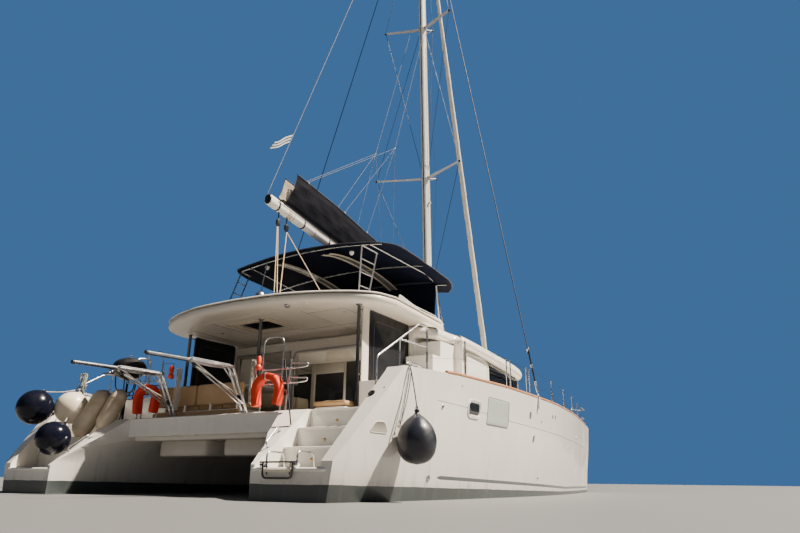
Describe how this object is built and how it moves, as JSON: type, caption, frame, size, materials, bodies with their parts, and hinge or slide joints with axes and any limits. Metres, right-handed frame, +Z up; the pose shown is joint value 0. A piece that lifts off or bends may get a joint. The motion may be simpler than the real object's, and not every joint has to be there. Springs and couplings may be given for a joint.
{
  "type": "sailing catamaran",
  "caption": "Flybridge sailing catamaran afloat at rest, with its sail stowed on the boom, stern steps, davits, hardtop and canvas sunshade.",
  "frame": {"origin": "amidships on the centreline, at the level of the waterline", "axes": "+X forward to the bows, +Y to port, +Z up along the mast's side of the boat"},
  "size_m": [14.7108, 8.0915, 21.9],
  "materials": {
    "gelcoat": "glossy off-white gelcoat",
    "liner": "satin warm white laminate",
    "glass": "dark tinted acrylic",
    "steel": "polished stainless steel tube and wire",
    "alloy": "white painted aluminium",
    "navy": "dark navy acrylic canvas",
    "tan": "tan cushions on moulded seats",
    "sailcloth": "white woven sailcloth",
    "netting": "dark woven netting",
    "antifouling": "matte dark antifouling paint",
    "bronze": "dull propeller bronze",
    "engine": "painted engine block",
    "fender": "inflated vinyl, dark blue and one off-white",
    "buoy": "orange cloth with pale straps",
    "black": "black enamel"
  },
  "bodies": {
    "boat": {"hull_port": "gelcoat", "hull_starboard": "gelcoat", "saloon_side_port": "gelcoat", "saloon_side_starboard": "gelcoat", "bridge_deck": "gelcoat", "saloon_front": "gelcoat", "coachroof": "gelcoat", "bulkhead": "gelcoat", "hardtop": "gelcoat", "flybridge_coaming": "gelcoat", "helm_console": "gelcoat", "walkway": "gelcoat", "cockpit_table": "liner", "saloon_side_glass_port": "glass", "saloon_side_glass_starboard": "glass", "side_screen_port": "glass", "side_screen_starboard": "glass", "saloon_front_glass": "glass", "bulkhead_glass_port": "glass", "bulkhead_glass_starboard": "glass", "cap_shroud_port": "steel", "cap_shroud_starboard": "steel", "guard_rail_port": "steel", "guard_rail_starboard": "steel", "davit_port": "steel", "davit_starboard": "steel", "pushpit_port": "steel", "pushpit_starboard": "steel", "bimini_frame": "steel", "mast": "alloy", "fore_beam": "alloy", "bimini": "navy", "cockpit_bench": "tan", "cockpit_side_seat": "tan", "flybridge_seats": "tan", "furled_genoa": "sailcloth", "trampoline_port": "netting", "trampoline_starboard": "netting", "keel_port": "antifouling", "keel_starboard": "antifouling", "engine_port": "engine", "engine_starboard": "engine", "fender_starboard": "fender", "fenders_port": "fender", "horseshoe_buoy_port": "buoy", "horseshoe_buoy_starboard": "buoy", "roof_post_middle": "black", "grill_bowl": "black"},
    "boom": {"boom": "alloy", "lazy_bag": "navy"},
    "rudder_port": {"rudder_port": "antifouling"},
    "rudder_starboard": {"rudder_starboard": "antifouling"},
    "propeller_port": {"propeller_port": "bronze"},
    "propeller_starboard": {"propeller_starboard": "bronze"},
    "steering_wheel": {"steering_wheel": "steel"},
    "saloon_door": {"saloon_door": "glass"},
    "engine_hatch_port": {"engine_hatch_port": "gelcoat"},
    "engine_hatch_starboard": {"engine_hatch_starboard": "gelcoat"},
    "swim_ladder": {"swim_ladder": "steel"},
    "grill_lid": {"grill_lid": "black"}
  },
  "joints": [
    {"name": "boom_swing", "type": "hinge", "parent": "boat", "child": "boom", "pos_m": [1.6683, 0, 4.62], "axis": [0, 0, 1], "range_deg": [-45, 45]},
    {"name": "rudder_port_turn", "type": "hinge", "parent": "boat", "child": "rudder_port", "pos_m": [-5.96, 2.76, 0], "axis": [0, 0, 1], "range_deg": [-35, 35]},
    {"name": "rudder_starboard_turn", "type": "hinge", "parent": "boat", "child": "rudder_starboard", "pos_m": [-5.96, -2.76, 0], "axis": [0, 0, 1], "range_deg": [-35, 35]},
    {"name": "wheel_turn", "type": "hinge", "parent": "boat", "child": "steering_wheel", "pos_m": [-1.085, -0.9, 3.91], "axis": [1, 0, 0], "range_deg": [-350, 350]},
    {"name": "propeller_port_spin", "type": "hinge", "parent": "boat", "child": "propeller_port", "pos_m": [-5.3523, 2.76, -0.77], "axis": [1, 0, 0], "continuous": true},
    {"name": "propeller_starboard_spin", "type": "hinge", "parent": "boat", "child": "propeller_starboard", "pos_m": [-5.3523, -2.76, -0.77], "axis": [1, 0, 0], "continuous": true},
    {"name": "door_slide", "type": "slide", "parent": "boat", "child": "saloon_door", "axis": [0, -1, 0], "range_m": [0, 1.7]},
    {"name": "hatch_port_lift", "type": "hinge", "parent": "boat", "child": "engine_hatch_port", "pos_m": [-4.86, 2.76, 1.22], "axis": [0, 1, 0], "range_deg": [0, 80]},
    {"name": "hatch_starboard_lift", "type": "hinge", "parent": "boat", "child": "engine_hatch_starboard", "pos_m": [-4.86, -2.76, 1.22], "axis": [0, 1, 0], "range_deg": [0, 80]},
    {"name": "ladder_swing", "type": "hinge", "parent": "boat", "child": "swim_ladder", "pos_m": [-7.025, -2.6, 0.46], "axis": [0, 1, 0], "range_deg": [0, 100]},
    {"name": "grill_lid_lift", "type": "hinge", "parent": "boat", "child": "grill_lid", "pos_m": [-5.46, 2.18, 2.185], "axis": [0, 1, 0], "range_deg": [0, 75]}
  ],
  "couplings": [
    {"joint": "rudder_starboard_turn", "follows": "rudder_port_turn", "ratio": 1},
    {"joint": "wheel_turn", "follows": "rudder_port_turn", "ratio": 10}
  ]
}
